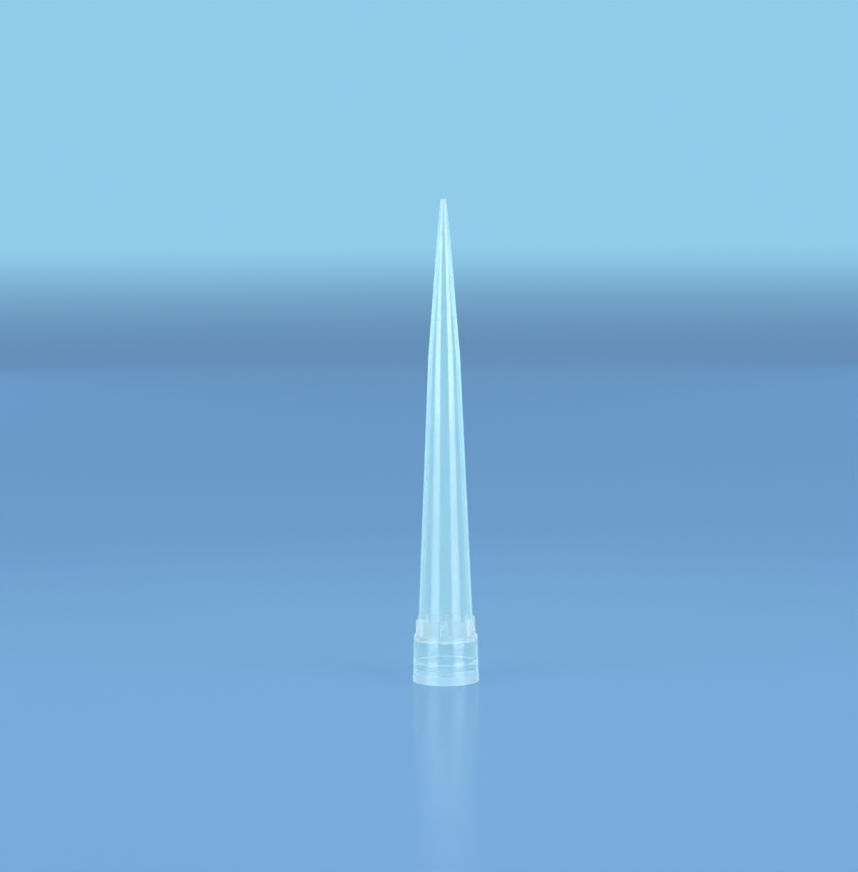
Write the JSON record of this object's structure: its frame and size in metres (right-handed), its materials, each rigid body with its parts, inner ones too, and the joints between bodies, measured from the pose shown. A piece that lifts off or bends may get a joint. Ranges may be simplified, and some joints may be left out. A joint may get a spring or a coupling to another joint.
{
  "type": "pipette tip",
  "caption": "Disposable air-displacement pipette tip in natural polypropylene: a long two-taper cone, ribs above a plain collar, open at both ends.",
  "frame": {"origin": "centre of the collar's rim, on the surface that the tip stands on", "axes": "+Z along the tip's axis from the collar's rim to the orifice; a rib lies on +Y and on -Y"},
  "size_m": [0.0098, 0.0098, 0.071],
  "materials": {
    "natural_polypropylene": "clear to faintly milky natural polypropylene, polished mould finish, spark-eroded texture between the ribs"
  },
  "bodies": {
    "root": {"pipette_tip": "natural_polypropylene"}
  },
  "joints": []
}
